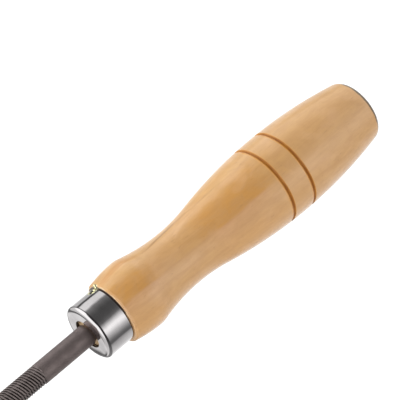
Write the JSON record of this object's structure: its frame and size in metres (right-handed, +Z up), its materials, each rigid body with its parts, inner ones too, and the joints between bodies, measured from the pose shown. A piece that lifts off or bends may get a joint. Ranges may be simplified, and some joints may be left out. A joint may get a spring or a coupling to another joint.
{
  "type": "wood rasp",
  "caption": "Round wood rasp: a toothed round blade whose square tang is driven into a turned wooden handle with a staked metal ferrule.",
  "frame": {"origin": "centre of the ferrule's front face, on the tool's axis", "axes": "+X along the tool's axis towards the blade's tip, +Z up when the tool lies on a bench"},
  "size_m": [0.3195, 0.0284, 0.0284],
  "materials": {
    "blade_steel": "dark, hardened, lightly ground",
    "plated_ferrule": "bright nickel plate",
    "varnished_wood": "clear varnish over turned light wood"
  },
  "bodies": {
    "root": {"file_blade": "blade_steel", "ferrule": "plated_ferrule", "handle": "varnished_wood"}
  },
  "joints": []
}
